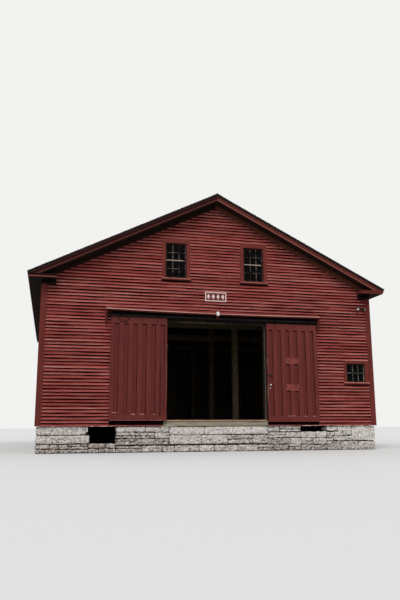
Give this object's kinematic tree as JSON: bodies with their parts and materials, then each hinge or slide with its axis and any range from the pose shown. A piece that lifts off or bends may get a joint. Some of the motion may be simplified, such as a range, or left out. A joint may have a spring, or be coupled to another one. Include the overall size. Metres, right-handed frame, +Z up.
{
  "type": "barn",
  "caption": "Red timber-framed gable barn with clapboard walls, boxed cornices, a split-granite foundation and sliding doors hung from a hooded track.",
  "frame": {"origin": "middle of the plan, at the lowest level where the foundation meets the ground", "axes": "+X to the right along the gable front, +Y back from the front to the rear gable, +Z up"},
  "size_m": [11.806, 15.308, 8.3081],
  "materials": {
    "red_clapboard": "weathered barn-red paint on clapboards",
    "red_trim": "barn-red paint on planed boards",
    "red_door": "flat barn-red paint on door boards",
    "granite": "split granite, pale and rough",
    "shingles": "weathered grey shingles",
    "galvanised": "dull galvanised sheet",
    "hewn_timber": "old hewn timber, unpainted",
    "floor_plank": "worn floor planks",
    "weathered_plank": "bare plank gone grey",
    "painted_steel": "dark painted steel with rust",
    "sash_paint": "off-white sash paint",
    "window_pane": "old clear glass",
    "date_board_paint": "white rim on a red board",
    "lamp_enamel": "white enamel"
  },
  "bodies": {
    "barn": {"back_wall": "red_clapboard", "corner_boards": "red_trim", "cornice_returns": "red_trim", "date_board": "date_board_paint", "door_hood": "red_trim", "door_track": "painted_steel", "eave_cornices": "red_trim", "end_sills": "hewn_timber", "floodlight": "lamp_enamel", "floor": "floor_plank", "floor_girders": "hewn_timber", "foundation_back": "granite", "foundation_front": "granite", "foundation_gap_sills": "granite", "foundation_sides": "granite", "front_gable": "red_clapboard", "front_wall_left": "red_clapboard", "front_wall_right": "red_clapboard", "hood_brackets": "red_trim", "hood_fascia": "red_trim", "hood_lamp": "lamp_enamel", "inner_piers": "granite", "inner_posts": "hewn_timber", "outer_posts": "hewn_timber", "purlins": "hewn_timber", "rafters_left": "hewn_timber", "rafters_right": "hewn_timber", "rakes_left": "red_trim", "rakes_right": "red_trim", "ridge_cap": "galvanised", "roof_left": "shingles", "roof_right": "shingles", "side_sills": "hewn_timber", "side_walls": "red_clapboard", "threshold": "weathered_plank", "threshold_riser": "weathered_plank", "tie_beams": "hewn_timber", "track_brackets": "painted_steel", "wall_plates": "hewn_timber", "window_frames": "red_trim", "window_glass": "window_pane", "window_sashes": "sash_paint"},
    "left_door": {"door_left": "red_door", "door_left_hangers": "painted_steel"},
    "right_door": {"door_right": "red_door", "door_right_hangers": "painted_steel"}
  },
  "joints": [
    {"name": "left_door_slide", "type": "slide", "parent": "barn", "child": "left_door", "axis": [1, 0, 0], "range_m": [0, 1.606]},
    {"name": "right_door_slide", "type": "slide", "parent": "barn", "child": "right_door", "axis": [-1, 0, 0], "range_m": [0, 1.686]}
  ]
}
